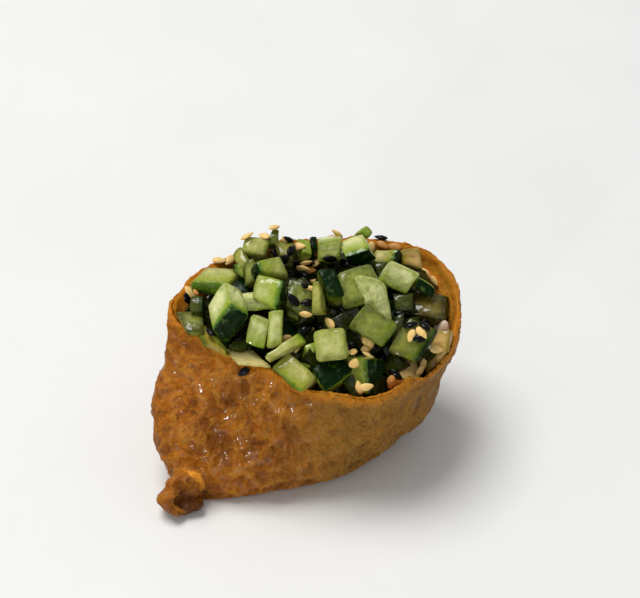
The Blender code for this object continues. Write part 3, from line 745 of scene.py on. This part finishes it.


# %% [markdown]
# The pieces that show are laid one by one, as a cook would. Each row gives the middle of the
# piece and its height above the level through the lip, its sides (along its edge, across, and
# from the skin inwards), the way its skin faces and the way its edge runs. Then come how pale
# its flesh is, which also holds painted light and shade set piece by piece, how deep its outer
# face was cut under the skin, how much painted amber reflection of the pouch it carries, and
# how much it leans and tapers, because nobody cuts true squares.

# %% The pieces that show
PIECES = (
    # along the front wall, from the left
    ((-24.0, -1.5, -3.0), (4.5, 5.5, 2.5), (0.0, -0.1, 1.0), (1.0, 0.0, 0.0),
     dict(pale_and_lit=0.25, depth=4, amber_reflection=0.2, lean=(-0.3, 0.0), taper=(0.2, 0.0))),
    ((-21.0, -4.5, -3.5), (7.5, 2.5, 2.5), (-0.9, -0.5, 0.0), (0.5, -0.9, 0.0),
     dict(pale_and_lit=0.65, depth=0.5, amber_reflection=1, lean=(0.0, -1.4), taper=(0.0, -0.3))),
    ((-18.5, -6.0, -2.5), (1.5, 3.5, 3.0), (0.0, -0.5, 0.9), (1.0, -0.2, -0.1),
     dict(pale_and_lit=0.35, depth=1.2, amber_reflection=0.3, lean=(-1.1, 0.0), taper=(-0.3, 0.0))),
    ((-14.0, -6.5, -2.5), (3.0, 2.5, 3.0), (0.0, -0.5, 0.9), (0.7, 0.6, 0.3),
     dict(pale_and_lit=0.1, depth=1.2, amber_reflection=0.1, lean=(-0.4, 0.0), taper=(0.1, 0.0))),
    ((-16.5, -4.0, 4.0), (8.5, 5.0, 7.5), (0.2, -1.0, -0.1), (-0.5, 0.0, -0.8),
     dict(pale_and_lit=0.9, soft=0.6, lean=(0.4, 0.0), taper=(0.1, 0.0))),
    ((-12.5, -9.5, -3.5), (6.5, 4.5, 2.5), (0.0, 0.0, 1.0), (1.0, -0.1, 0.0),
     dict(pale_and_lit=1.3, depth=4, amber_reflection=0.5, lean=(-0.8, 0.0), taper=(-0.1, 0.0))),
    ((-10.0, -6.0, 1.5), (4.0, 5.0, 5.5), (-0.3, -0.5, -0.8), (1.0, -0.2, -0.2),
     dict(pale_and_lit=0.72, depth=0.8, lean=(0.0, 0.1))),
    ((-6.5, -6.5, 3.0), (3.0, 7.0, 3.0), (0.0, -0.7, 0.7), (1.0, 0.1, 0.1),
     dict(pale_and_lit=0.74, depth=4, lean=(0.2, 0.0))),
    ((-4.5, -10.5, 2.0), (2.0, 3.0, 8.0), (0.7, 0.6, 0.3), (0.7, -0.6, -0.5),
     dict(pale_and_lit=0.65, depth=0.5, amber_reflection=0.2, lean=(0.0, 0.2), taper=(0.0, 0.2))),
    ((-2.5, -13.0, -2.5), (8.0, 5.0, 4.5), (-0.7, -0.6, -0.4), (0.7, -0.6, -0.3),
     dict(pale_and_lit=0.65, depth=0.6, amber_reflection=0.3)),
    ((0.5, -7.5, -2.0), (2.5, 2.5, 4.0), (0.0, -0.5, 0.9), (1.0, 0.2, 0.1),
     dict(pale_and_lit=0.7, depth=1.5, lean=(0.4, 0.0))),
    ((0.5, -9.5, -3.0), (3.0, 2.0, 4.0), (0.0, -0.5, 0.9), (0.9, 0.3, 0.2),
     dict(pale_and_lit=0.7, depth=1.5, taper=(0.2, 0.0))),
    ((5.0, -12.5, -2.0), (6.5, 5.0, 5.0), (0.0, -0.5, 0.9), (0.8, 0.5, 0.3),
     dict(pale_and_lit=0.5, taper=(-0.1, 0.0))),
    ((11.5, -12.5, -1.5), (5.0, 7.0, 7.0), (0.8, -0.6, 0.4), (0.7, 0.5, -0.5),
     dict(pale_and_lit=0.3, lean=(-0.1, 0.0), taper=(0.2, 0.0))),
    ((20.0, -10.0, -2.5), (6.0, 5.5, 3.0), (0.0, -0.2, 1.0), (1.0, 0.0, 0.0),
     dict(pale_and_lit=1, depth=4, amber_reflection=0.9, lean=(-0.1, 0.0))),
    ((28.0, -5.0, -1.0), (8.0, 4.0, 3.0), (-0.3, -0.6, 0.8), (0.2, 0.8, 0.6),
     dict(pale_and_lit=0.75, depth=4, amber_reflection=1, soft=0.5, lean=(-0.6, 0.0), taper=(0.2, 0.0))),
    # the middle, from the left
    ((-23.0, 2.0, -1.5), (3.5, 4.0, 2.5), (1.0, 0.0, 0.0), (0.0, -0.9, -0.5), dict(pale_and_lit=0.15, amber_reflection=0.3)),
    ((-14.5, 5.5, -0.5), (4.0, 4.0, 4.0), (0.0, -0.3, 1.0), (0.9, 0.4, 0.1),
     dict(pale_and_lit=0.2, lean=(0.1, 0.0))),
    ((-10.5, 0.0, 3.5), (7.5, 5.0, 2.5), (0.1, -0.4, -0.9), (1.0, 0.0, 0.1),
     dict(pale_and_lit=0.95, depth=1.8, taper=(0.0, -0.1))),
    ((-7.5, 0.0, 5.5), (6.0, 5.0, 6.0), (0.9, -0.3, 0.1), (-0.2, -0.8, -0.5),
     dict(pale_and_lit=0.6, soft=0.6, lean=(0.0, 0.2), taper=(0.0, 0.1))),
    ((-8.0, 6.5, 5.5), (4.0, 4.0, 6.0), (-0.9, -0.5, 0.1), (0.4, -0.8, -0.5),
     dict(pale_and_lit=0.45, amber_reflection=0.1, soft=0.6, lean=(0.0, -0.2), taper=(0.0, -0.3))),
    ((-3.0, -0.5, 1.0), (3.0, 2.5, 4.0), (0.0, -0.5, 0.9), (1.0, -0.3, -0.2),
     dict(pale_and_lit=0.22, depth=1.5, lean=(-0.5, 0.0), taper=(0.2, 0.0))),
    ((-1.5, 1.0, 4.0), (6.0, 6.0, 3.0), (0.0, -0.5, 0.9), (1.0, -0.3, -0.1),
     dict(pale_and_lit=0.28, depth=4, amber_reflection=0.1, lean=(-0.2, 0.0), taper=(-0.2, 0.0))),
    ((2.5, -1.0, 6.5), (2.0, 6.5, 3.0), (-0.3, -0.6, 0.7), (1.0, -0.2, 0.3),
     dict(pale_and_lit=0.5, depth=4, amber_reflection=0.3, taper=(-0.3, 0.0))),
    ((5.0, 2.5, 6.0), (3.5, 6.0, 6.0), (0.1, -0.5, 0.9), (1.0, 0.1, 0.0),
     dict(pale_and_lit=0.25, lean=(-0.3, 0.0))),
    ((5.0, -10.5, 4.0), (6.5, 6.0, 5.0), (-0.1, -0.7, 0.7), (1.0, 0.0, 0.2),
     dict(pale_and_lit=0.62, depth=5, amber_reflection=0.1, soft=0.8)),
    ((8.5, -2.0, 2.0), (6.5, 3.5, 4.0), (-0.1, -0.7, 0.7), (0.9, 0.4, 0.2),
     dict(pale_and_lit=0, depth=1.5, lean=(-0.2, 0.0), taper=(0.2, 0.0))),
    ((14.0, -5.5, 5.0), (6.0, 4.0, 8.0), (0.8, -0.4, -0.5), (0.6, 0.4, 0.7),
     dict(pale_and_lit=0.33, depth=0.5, soft=0.6, lean=(0.0, 0.1), taper=(0.0, -0.1))),
    ((14.5, -1.5, 7.0), (5.5, 9.0, 3.0), (0.5, -0.6, 0.6), (0.9, 0.2, -0.5),
     dict(pale_and_lit=0.78, depth=4, soft=1, lean=(-0.6, 0.0), taper=(0.3, 0.0))),
    ((11.0, 2.0, 7.5), (8.5, 7.5, 3.5), (0.1, -0.5, 0.9), (0.9, 0.3, 0.1),
     dict(pale_and_lit=0.32, depth=4, soft=1, taper=(-0.1, 0.0))),
    ((19.0, -3.0, 1.5), (2.5, 5.0, 3.0), (0.0, -0.5, 0.9), (0.9, 0.3, 0.2),
     dict(pale_and_lit=0.1, depth=4, lean=(0.5, 0.0))),
    ((22.0, -8.0, 4.0), (8.0, 4.0, 6.0), (0.8, -0.5, -0.3), (0.5, 0.6, 0.6),
     dict(pale_and_lit=0.28, amber_reflection=0.2, lean=(0.0, 0.2))),
    ((20.5, 4.0, 1.5), (4.0, 4.0, 4.0), (0.0, -0.5, 0.9), (1.0, 0.0, 0.0),
     dict(pale_and_lit=0.12, depth=4, taper=(0.1, 0.0))),
    ((19.5, 8.0, 5.0), (6.5, 5.0, 5.0), (-0.4, -0.5, -0.7), (0.9, -0.2, -0.4),
     dict(pale_and_lit=1.1, depth=0.9, lean=(0.0, -0.2))),
    ((16.0, 11.5, 2.5), (2.0, 3.0, 3.0), (0.0, -0.5, 0.9), (1.0, 0.1, 0.1),
     dict(pale_and_lit=0.1, depth=1.5, lean=(0.1, 0.0), taper=(0.6, 0.0))),
    ((26.0, 5.0, 0.0), (7.5, 6.0, 3.0), (0.0, -0.3, 1.0), (1.0, -0.2, -0.1),
     dict(pale_and_lit=0.2, depth=4, amber_reflection=0.9, lean=(-0.2, 0.0))),
    # along the back wall, from the left
    ((-19.0, 7.5, 0.5), (8.0, 3.0, 5.5), (-0.1, -1.0, 0.0), (1.0, -0.1, 0.0),
     dict(pale_and_lit=0.65, depth=0.5, amber_reflection=0.2, soft=0.6, lean=(0.0, -0.5))),
    ((-14.0, 9.0, 2.0), (2.5, 3.0, 2.0), (-0.9, 0.1, -0.4), (0.1, -0.9, -0.4),
     dict(pale_and_lit=0.35, lean=(0.0, -0.7), taper=(0.0, -0.3))),
    ((-13.5, 12.0, 2.0), (2.5, 4.5, 3.0), (-0.4, -0.4, 0.8), (0.7, 0.5, 0.6),
     dict(pale_and_lit=0.42, depth=4, amber_reflection=0.35, lean=(0.3, 0.0))),
    ((-11.0, 15.5, 2.5), (4.5, 5.0, 3.0), (0.1, -0.5, 0.9), (0.3, 0.8, 0.5),
     dict(pale_and_lit=0.6, depth=4, amber_reflection=0.2, soft=0.7, lean=(-0.2, 0.0), taper=(-0.1, 0.0))),
    ((-11.5, 8.0, 3.0), (3.0, 4.5, 3.0), (-0.2, -0.6, 0.8), (0.9, 0.3, 0.4),
     dict(pale_and_lit=0.35, depth=4, amber_reflection=0.1, lean=(0.3, 0.0), taper=(-0.3, 0.0))),
    ((-7.0, 18.0, 3.0), (2.0, 3.0, 3.0), (0.0, -0.5, 0.9), (1.0, 0.1, 0.0),
     dict(pale_and_lit=0.25, depth=1.6, lean=(0.3, 0.0), taper=(-0.3, 0.0))),
    ((-4.5, 14.0, 3.0), (3.5, 4.5, 3.0), (0.0, -0.2, 1.0), (1.0, -0.2, 0.0),
     dict(pale_and_lit=0.32, depth=4, amber_reflection=0.4, lean=(-0.3, 0.0), taper=(0.3, 0.0))),
    ((-0.5, 16.5, 2.0), (2.5, 3.5, 3.0), (0.2, -0.3, 0.9), (1.0, 0.0, -0.2),
     dict(pale_and_lit=0.55, depth=1.2, lean=(-0.3, 0.0), taper=(0.2, 0.0))),
    ((1.5, 18.5, 1.5), (1.5, 3.0, 3.0), (0.1, -0.5, 0.9), (1.0, 0.1, -0.1),
     dict(pale_and_lit=0.2, taper=(0.1, 0.0))),
    ((5.0, 15.5, 4.0), (5.0, 4.5, 5.0), (0.0, -0.9, 0.5), (1.0, 0.0, 0.1),
     dict(pale_and_lit=0.7, depth=3, lean=(0.1, 0.0))),
    ((11.0, 14.0, 5.5), (5.5, 3.5, 5.0), (0.3, -1.0, -0.1), (1.0, 0.2, 0.2),
     dict(pale_and_lit=1.1, lean=(-0.3, 0.0))),
    ((12.5, 20.5, 4.0), (2.5, 2.0, 3.0), (0.5, -0.4, 0.8), (0.6, 0.8, 0.1),
     dict(pale_and_lit=0.6, depth=1, lean=(-0.1, 0.0))),
    ((17.5, 14.5, 3.5), (3.0, 3.0, 5.0), (0.8, -0.5, 0.1), (-0.4, -0.7, -0.6),
     dict(pale_and_lit=1, amber_reflection=0.4, lean=(0.0, -0.3))),
    ((22.5, 16.0, 2.5), (4.0, 4.0, 4.0), (-1.0, -0.2, 0.0), (0.1, -0.7, -0.7),
     dict(pale_and_lit=0.8, depth=1.8, amber_reflection=1, lean=(0.0, -0.2), taper=(0.0, -0.2))),
    ((25.0, 7.0, 4.0), (4.5, 2.0, 3.0), (0.2, -0.9, 0.4), (0.8, -0.1, -0.6),
     dict(pale_and_lit=0.6, lean=(-0.2, 0.0))),
)

dice = bmesh.new()
chance = random.Random(5)
for (x, y, above), sides, faces, runs, look in PIECES:
    cucumber_piece(dice, chance, (x, y, level(x, y) + above), sides, faces, runs, **look)
print("pieces laid:", len(PIECES), "points:", len(dice.verts))

# %% [markdown]
# Below and between them lie pieces in no order. They are dropped on a loose grid, turned at
# random, and left out where they would poke through the wall of the pouch. Their flesh is
# painted nearly black, as shade deep in the gaps.

# %% The pieces between
GRID, GRID_SHIFT = 4.6, 1.2
DOME, DOME_REACH = 6.0, (30, 20)
BETWEEN_HEIGHT = (-7.0, -5.0)
BETWEEN_SIDE = (3.6, 5.4)
# Their low paleness is painted shade, standing for the dark gaps.
BETWEEN_PALE_IN_SHADE = (0.0, 0.10)
BETWEEN_DEPTHS = (0.0, 1.5, 3.0)
WALL_CLEARANCE = 2.6


def any_way(chance):
    return Vector([chance.uniform(-1, 1) for _ in range(3)])


graph = bpy.context.evaluated_depsgraph_get()
skin_tree = BVHTree.FromObject(pouch, graph)
low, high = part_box("sushi_rice")
low, high = low / MM, high / MM
added = 0
for row in range(int((high.y - low.y) / GRID) + 2):
    for column in range(int((high.x - low.x) / GRID) + 2):
        x = low.x + column * GRID + chance.uniform(-GRID_SHIFT, GRID_SHIFT)
        y = low.y + row * GRID + chance.uniform(-GRID_SHIFT, GRID_SHIFT)
        from_middle = (x - mouth_middle[0]) / DOME_REACH[0], (y - mouth_middle[1]) / DOME_REACH[1]
        dome = DOME * (1 - from_middle[0] ** 2 - from_middle[1] ** 2)
        middle = Vector((x, y, level(x, y) + chance.uniform(*BETWEEN_HEIGHT) + dome))
        axis = Vector((mouth_middle[0], mouth_middle[1], middle.z))
        reach = middle - axis
        blocked = skin_tree.ray_cast(axis * MM, reach, reach.length * MM)[0]
        away = skin_tree.find_nearest(middle * MM)[3]
        if blocked or away < WALL_CLEARANCE * MM:
            continue
        sides = [chance.uniform(*BETWEEN_SIDE) for _ in range(3)]
        faces, runs = any_way(chance), any_way(chance)
        pale_and_lit = chance.uniform(*BETWEEN_PALE_IN_SHADE)
        cucumber_piece(dice, chance, middle, sides, faces, runs, pale_and_lit, depth=chance.choice(BETWEEN_DEPTHS))
        added += 1
print("pieces between:", added)

# %% [markdown]
# Pieces at the edge are pressed against the skin. So every point that would lie in the wall or
# beyond it is drawn back towards the middle of the mouth, to just inside the skin.

# %% Pressed against the wall
SKIN_GAP = 0.25

pressed = 0
for vert in dice.verts:
    axis = Vector((mouth_middle[0] * MM, mouth_middle[1] * MM, vert.co.z))
    reach = vert.co - axis
    hit = skin_tree.ray_cast(axis, reach, reach.length + SKIN_GAP * MM)[0]
    if hit:
        vert.co = hit - reach.normalized() * SKIN_GAP * MM
        pressed += 1
print("points pressed against the wall:", pressed)

# %% [markdown]
# ### Finish of the cucumber
# One material serves skin and flesh. A row of soft steps over the stored depth blends skin,
# vivid band, flesh and core. The flesh scatters light, so it is a subsurface material. The
# dressing lies on it in drops: they are smoother than the cut face and carry a clear coat,
# strong on the flesh and weak on the skin, which would look grey under it. Noise gives the
# flesh its watery grain and the skin a few paler flecks.

# %% Cucumber material
SKIN = (0.002, 0.013, 0.001)
SKIN_FLECK = (0.005, 0.026, 0.001)
UNDER_SKIN = (0.075, 0.16, 0.008)
VIVID = (0.27, 0.34, 0.028)
# The darkest flesh is painted shade, for pieces deep in the gaps or shaded by others.
SHADED_FLESH = (0.016, 0.022, 0.001)
CLEAR_FLESH = (0.29, 0.33, 0.055)
PALE_FLESH = (0.63, 0.64, 0.28)
# Painted reflection: warm light thrown by the fried skin onto pieces near the wall.
REFLECTED_AMBER = (1.0, 0.61, 0.50)

fresh = Finish("cucumber", {
    "IOR": 1.36, "Subsurface Weight": 0.4, "Subsurface Scale": 0.8 * MM,
    "Subsurface Radius": (1.0, 1.0, 0.35), "Specular IOR Level": 0.12, "Coat Roughness": 0.07,
})
deep = fresh.stored("under_skin") + 1.0 * (fresh.noise(1.6, detail=2.0) - 0.5)
watery = fresh.step(fresh.noise(2.4, detail=4.0, rough=0.6), 0.25, 0.75)
# Painted shade: the flesh darkens towards the edges of each piece, and on the core in the creases between
# lumps.
edge_on = fresh.step(fresh.stored("near_edge"), 0.5, 1.0)
pale_and_lit = fresh.stored("pale_and_lit") * (0.8 + 0.55 * watery) * (1.0 - 0.5 * edge_on)
flecks = fresh.noise(0.8, detail=2.0)
skin = fresh.blend(fresh.step(flecks, 0.55, 0.75), SKIN, SKIN_FLECK)
# Painted light and shade: the stored paleness makes lit pieces lighter and shaded ones dark, band included.
flesh = fresh.blend(fresh.step(pale_and_lit, 0.0, 0.5), SHADED_FLESH, CLEAR_FLESH)
flesh = fresh.blend(fresh.step(pale_and_lit, 0.35, 1.1), flesh, PALE_FLESH)
bright = fresh.step(fresh.stored("pale_and_lit"), 0.0, 0.6)
band = fresh.blend(bright, SHADED_FLESH, VIVID)
edge = fresh.blend(bright, SHADED_FLESH, UNDER_SKIN)
flesh = fresh.blend(fresh.step(deep, 1.0, 4.4), band, flesh)
flesh = fresh.blend(fresh.step(deep, 0.4, 1.5), edge, flesh)
# Painted reflection of the pouch, multiplied into the flesh as far as each piece asks.
flesh = fresh.blend(fresh.stored("amber_reflection"), flesh, fresh.blend(1.0, flesh, REFLECTED_AMBER, how="MULTIPLY"))
is_flesh = fresh.step(deep, 0.05, 0.4)
fresh.shows("Base Color", fresh.blend(is_flesh, skin, flesh))
drops = fresh.step(fresh.noise(1.6, detail=2.0), 0.42, 0.56)
fresh.shows("Roughness", 0.42 - 0.2 * drops)
fresh.shows("Coat Weight", drops * (0.1 + 0.7 * is_flesh))
fresh.shows("Normal", fresh.bump(fresh.noise(1.5, detail=1.5), 0.55))

diced = piece_of(dice, "diced_cucumber")
finished(diced, fresh, "cucumber", "cucumber_heap")

# %% [markdown]
# The core uses the same finish, painted almost black as shade, since it lies under everything else.

# %% Finish of the core
CORE_UNDER_SKIN, CORE_UNDER_LUMPS = 0.6, 1.2
# Painted shade: the core's flesh is almost black.
CORE_PALE_IN_SHADE = 0.02

keep(core, "under_skin", CORE_UNDER_SKIN + CORE_UNDER_LUMPS * lumps)
keep(core, "pale_and_lit", np.full(len(lumps), CORE_PALE_IN_SHADE))
# The creases between lumps count as edges, so they get painted shade there.
keep(core, "near_edge", 1.0 - lumps)
finished(core, fresh, "cucumber", "cucumber_heap")

# %% [markdown]
# ## Rice
# Vinegared rice fills the pouch. Only a few grains show where the cucumber leaves a gap along
# the wall, so the rice is a core the size of the CAD solid with loose grains on its shoulder.
# A grain is a stretched sphere, a little flattened and bent.

# %% Rice
GRAIN_SIDES = (5.6, 2.7, 2.4)
GRAIN_FACES = (10, 6)
GRAIN_BEND, GRAIN_LIFT = 0.25, 0.6
SMALL_TO_LARGE = (0.88, 1.08)
SHOULDER_ABOVE = 24.0
RICE_VOXEL = 0.7
RICE_RELIEF, RICE_RELIEF_SIZE = 0.8, 3.0
GRAIN_COUNT = 70
# Grains that climb the right-hand wall: place, and height over the level of the mouth.
CLIMBING = ((29.0, 0.8, -1.6), (28.2, 3.0, -3.6), (27.6, -1.0, -4.2))


def grain_of_rice(mesh, chance, place):
    around, along_grain = GRAIN_FACES
    made = bmesh.ops.create_uvsphere(mesh, u_segments=along_grain, v_segments=around, radius=0.5)["verts"]
    turn = any_way(chance).to_track_quat("X", "Z").to_matrix().to_4x4()
    size = chance.uniform(*SMALL_TO_LARGE)
    for vert in made:
        x, y, z = vert.co
        vert.co = Vector((z, y, x + GRAIN_BEND * z * z)) * size
    stretch = Matrix.Diagonal((*[side * MM for side in GRAIN_SIDES], 1.0))
    bmesh.ops.transform(mesh, matrix=Matrix.Translation(Vector(place) * MM) @ turn @ stretch, verts=made)


rice_core = copy_of("sushi_rice", "rice_core")
remeshed(rice_core, RICE_VOXEL, smoothing=4)
rice_spots = points_of(rice_core)
rice_lumps = np.array([cells(Vector(place), RICE_RELIEF_SIZE, 1.5) for place in rice_spots])
rice_moved = rice_spots + normals_of(rice_core) * ((rice_lumps - 1.0) * RICE_RELIEF)[:, None]
rice_core.data.vertices.foreach_set("co", (rice_moved * MM).ravel())

grains = bmesh.new()
chance = random.Random(9)
shoulder = [place for place in rice_moved if place[2] > SHOULDER_ABOVE]
for _ in range(GRAIN_COUNT):
    x, y, z = shoulder[chance.randrange(len(shoulder))]
    grain_of_rice(grains, chance, (x, y, z + GRAIN_LIFT))
for x, y, above in CLIMBING:
    grain_of_rice(grains, chance, (x, y, level(x, y) + above))
bmesh.ops.recalc_face_normals(grains, faces=grains.faces)
print("grains of rice:", GRAIN_COUNT + len(CLIMBING))

# %% [markdown]
# Cooked rice is milky: light goes in and comes out again. Its colour is warm white, tinted by
# the broth, with a moist gloss.

# %% Rice material
RICE_SHADE = (0.60, 0.42, 0.28)
RICE_LIGHT = (0.74, 0.58, 0.44)

steamed = Finish("steamed_rice", {
    "IOR": 1.40, "Subsurface Weight": 0.8, "Subsurface Scale": 1.5 * MM,
    "Subsurface Radius": (1.0, 0.9, 0.7), "Coat Roughness": 0.1,
})
milky = steamed.noise(1.8, detail=3.0)
steamed.shows("Base Color", steamed.blend(milky, RICE_SHADE, RICE_LIGHT))
steamed.shows("Roughness", 0.30 + 0.15 * milky)
steamed.shows("Coat Weight", 0.4 + 0.4 * milky)
steamed.shows("Normal", steamed.bump(steamed.noise(0.6), 0.06))

finished(rice_core, steamed, "rice", "sushi_rice")
finished(piece_of(grains, "rice_grains"), steamed, "rice", "sushi_rice")

# %% [markdown]
# ## Sesame seeds
# Toasted white and black sesame is scattered over the cucumber, mostly in loose clusters. A
# seed is a flat drop about 3 mm long: a sphere whose points are drawn in towards one end. Each
# row says where a seed fell, how high over the level of the mouth, and how many degrees it is
# turned, seen from above. It then lies flat on the nearest surface, on the mean of the normals
# around it, so that a seed over an edge leans on both sides.

# %% Seeds
SEED_SIDES = (3.2, 1.9, 1.0)
SEED_FACES = (12, 8)
SEED_LIFT = 0.6  # of its thickness, from the surface up to its middle
SEED_POINT, SEED_POINT_POWER = 0.992, 1.2
SEED_SIZES = (0.92, 1.06)
WHITE_SEEDS = (
    (-9.0, 18.0, 4.5, 140), (-7.0, 18.5, 6.0, 50), (-4.5, 17.5, 4.0, 10), (-2.0, 16.0, 3.0, 170),
    (0.0, 14.5, 1.0, 130), (-0.5, 14.0, 0.0, 120), (2.5, 16.0, -1.0, 40), (2.0, 12.5, -2.0, 50),
    (1.0, 1.0, 6.5, 150), (-19.0, 14.5, -1.0, 0), (-16.5, 15.0, -1.0, 60), (-25.0, 7.5, -3.0, 130),
    (-12.5, 16.0, 5.0, 20), (6.5, 18.5, 5.0, 40), (14.5, 23.0, -2.0, 90), (26.5, 18.5, -3.5, 70),
    (28.5, 16.5, -3.5, 70), (17.0, 9.5, 1.0, 140), (-5.0, -6.0, 0.0, 50), (-1.5, -7.0, -2.0, 50),
    (0.0, -3.0, 4.5, 100), (1.0, -1.5, -0.5, 80), (10.0, -9.0, 1.5, 80), (12.5, -9.0, 0.5, 0),
    (9.5, -13.0, 2.0, 30), (10.5, -16.0, -1.0, 80), (12.0, -16.5, 0.0, 50), (23.0, -10.5, -1.0, 40),
    (24.0, -9.0, -1.5, 100), (27.0, -6.5, 0.5, 0), (21.5, -9.0, 6.5, 70), (23.5, -9.0, 7.5, 120),
    (5.0, -4.0, 3.0, 110), (12.0, -7.0, 2.0, 100), (13.0, -7.5, 2.0, 100), (12.5, -7.5, 0.5, 30),
)
BROWN_SEEDS = (
    (1.0, 13.5, -0.5, 10), (-23.0, 4.5, 0.0, 70), (17.0, 23.0, -1.0, 140), (19.5, 22.0, -0.5, 160),
    (16.5, -11.5, -5.0, 0), (17.5, -13.0, -2.0, 70),
)
BLACK_SEEDS = (
    (-7.0, 16.0, 2.5, 0), (-4.0, 16.0, 5.0, 40), (-3.5, 13.0, 5.0, 60), (-6.5, 14.5, 2.5, 0),
    (-5.0, 11.0, 4.0, 60), (-2.0, 16.0, -1.5, 30), (0.5, 15.0, 0.0, 40), (-3.0, 13.0, -1.5, 30),
    (-0.5, 12.0, -0.5, 110), (-0.5, 1.5, 7.0, 50), (5.0, 12.0, 5.0, 50), (8.5, 13.5, 2.5, 140),
    (16.5, 24.5, -0.5, 170), (-25.5, 6.5, -4.0, 130), (-20.5, -5.5, -1.0, 120), (-13.0, -11.0, -4.5, 40),
    (-3.0, -1.0, 5.5, 140), (0.0, -1.5, 5.5, 10), (0.0, -3.5, 1.0, 50), (-13.5, -6.0, 0.0, 80),
    (-10.0, -1.5, 1.5, 0), (21.5, -7.5, 7.5, 10), (24.0, -8.0, 8.0, 140), (25.0, 2.0, -0.5, 70),
    (23.0, -9.5, 6.5, 0), (18.5, -12.0, -1.0, 110), (20.0, 1.5, 1.5, 10), (9.0, -6.5, -0.5, 70),
    (14.0, -8.5, 1.5, 70), (2.5, -2.0, 0.0, 10),
)


def seed(mesh, chance, x, y, above, turn, browned):
    """Adds a seed that lies flat on whatever is nearest to the place."""
    place = Vector((x, y, level(x, y) + above)) * MM
    tree = min(grounds, key=lambda ground: ground.find_nearest(place)[3])
    spot = tree.find_nearest(place)[0]
    around_it = tree.find_nearest_range(spot, SEED_SIDES[1] * MM)
    normal = sum((near[1] for near in around_it), Vector()).normalized()
    rings, around = SEED_FACES
    made = bmesh.ops.create_uvsphere(mesh, u_segments=rings, v_segments=around, radius=0.5)["verts"]
    size = chance.uniform(*SEED_SIZES)
    for vert in made:
        side, thick, length = vert.co
        narrow = 1.0 - SEED_POINT * max(length, 0.0) ** SEED_POINT_POWER
        vert.co = Vector((length, side * narrow, thick * narrow)) * size
        vert[mesh.verts.layers.float["browned"]] = browned
    angle = math.radians(turn)
    along = Vector((math.cos(angle), math.sin(angle), 0.0))
    along = (along - normal * along.dot(normal)).normalized() * chance.choice((-1, 1))
    lies = Matrix((along, normal.cross(along), normal)).transposed().to_4x4()
    stretch = Matrix.Diagonal((*[side * MM for side in SEED_SIDES], 1.0))
    lift = Matrix.Translation(spot + normal * SEED_SIDES[2] * SEED_LIFT * MM)
    bmesh.ops.transform(mesh, matrix=lift @ lies @ stretch, verts=made)


graph = bpy.context.evaluated_depsgraph_get()
grounds = [BVHTree.FromObject(piece, graph) for piece in (diced, pouch, core)]
white, black = bmesh.new(), bmesh.new()
for mesh in (white, black):
    mesh.verts.layers.float.new("browned")
chance = random.Random(21)
for mesh, rows, browned in ((white, WHITE_SEEDS, 0.0), (white, BROWN_SEEDS, 1.0), (black, BLACK_SEEDS, 0.0)):
    for row in rows:
        seed(mesh, chance, *row, browned)
print("seeds:", len(WHITE_SEEDS) + len(BROWN_SEEDS), "white,", len(BLACK_SEEDS), "black")

# %% [markdown]
# White sesame is dry and matt, and pale or toasted brown, as its stored number says. Black
# sesame is polished, and one dark colour with fine ribs.

# %% Seed materials
PALE_HUSK = ((0.66, 0.40, 0.10), (0.92, 0.67, 0.26))
BROWN_HUSK = ((0.42, 0.15, 0.02), (0.62, 0.30, 0.07))
BLACK_HUSK = ((0.002, 0.002, 0.002), (0.005, 0.004, 0.003))

toasted = Finish("white_sesame", {"IOR": 1.45, "Subsurface Weight": 0.3, "Subsurface Scale": 0.6 * MM})
husk = toasted.noise(0.9, detail=3.0)
pale_husk = toasted.blend(husk, *PALE_HUSK)
brown_husk = toasted.blend(husk, *BROWN_HUSK)
toasted.shows("Base Color", toasted.blend(toasted.stored("browned"), pale_husk, brown_husk))
toasted.shows("Roughness", 0.38 + 0.15 * husk)
toasted.shows("Normal", toasted.bump(toasted.noise(0.35), 0.05))

inky = Finish("black_sesame", {"IOR": 1.45, "Specular IOR Level": 0.18})
ribs = inky.noise(0.4, detail=2.0)
inky.shows("Base Color", inky.blend(ribs, *BLACK_HUSK))
inky.shows("Roughness", 0.10 + 0.10 * ribs)
inky.shows("Normal", inky.bump(ribs, 0.03))

for mesh, name, look in ((white, "white_sesame", toasted), (black, "black_sesame", inky)):
    bmesh.ops.recalc_face_normals(mesh, faces=mesh.faces)
    finished(piece_of(mesh, name), look, name)

# %% Size
low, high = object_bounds()
print("visual box in mm:", [round(side / MM, 1) for side in high - low])
